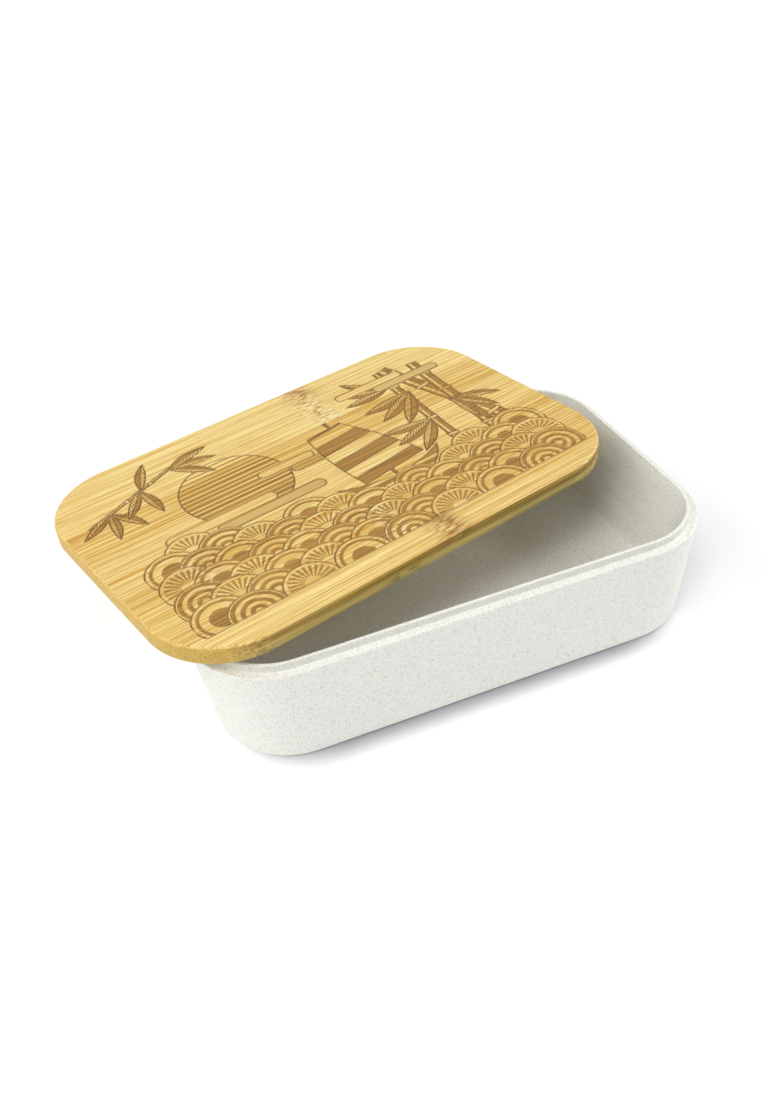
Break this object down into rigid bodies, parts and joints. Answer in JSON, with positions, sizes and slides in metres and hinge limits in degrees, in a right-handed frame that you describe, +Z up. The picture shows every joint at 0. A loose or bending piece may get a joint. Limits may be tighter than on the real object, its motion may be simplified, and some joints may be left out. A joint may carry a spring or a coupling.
{
  "type": "bento lunch box",
  "caption": "Rounded rectangular lunch box: a speckled off-white moulded tray with a stepped rim and a loose laminated bamboo lid with an engraved top, lying askew on the rim.",
  "frame": {"origin": "middle of the tray's underside", "axes": "+X along the tray's long side, +Y from its front side to its back side, +Z up"},
  "size_m": [0.2196, 0.162, 0.0549],
  "materials": {
    "tray_plastic": "matte, fine specks",
    "bamboo_top": "oiled, laser engraved",
    "bamboo_lower": "oiled",
    "bamboo_tongue": "sanded",
    "seal_silicone": "matte"
  },
  "bodies": {
    "tray": {"tray": "tray_plastic"},
    "lid": {"lid_top_strip_1": "bamboo_top", "lid_top_strip_2": "bamboo_top", "lid_top_strip_3": "bamboo_top", "lid_top_strip_4": "bamboo_top", "lid_top_strip_5": "bamboo_top", "lid_top_strip_6": "bamboo_top", "lid_top_strip_7": "bamboo_top", "lid_lower_strip_1": "bamboo_lower", "lid_lower_strip_2": "bamboo_lower", "lid_lower_strip_3": "bamboo_lower", "lid_lower_strip_4": "bamboo_lower", "lid_lower_strip_5": "bamboo_lower", "lid_lower_strip_6": "bamboo_lower", "lid_tongue_strip_1": "bamboo_tongue", "lid_tongue_strip_2": "bamboo_tongue", "lid_tongue_strip_3": "bamboo_tongue", "lid_tongue_strip_4": "bamboo_tongue", "lid_tongue_strip_5": "bamboo_tongue", "lid_tongue_strip_6": "bamboo_tongue", "lid_seal": "seal_silicone"}
  },
  "joints": [
    {"name": "lid_lift", "type": "slide", "parent": "tray", "child": "lid", "axis": [0, 0, 1], "range_m": [0, 0.12]}
  ]
}
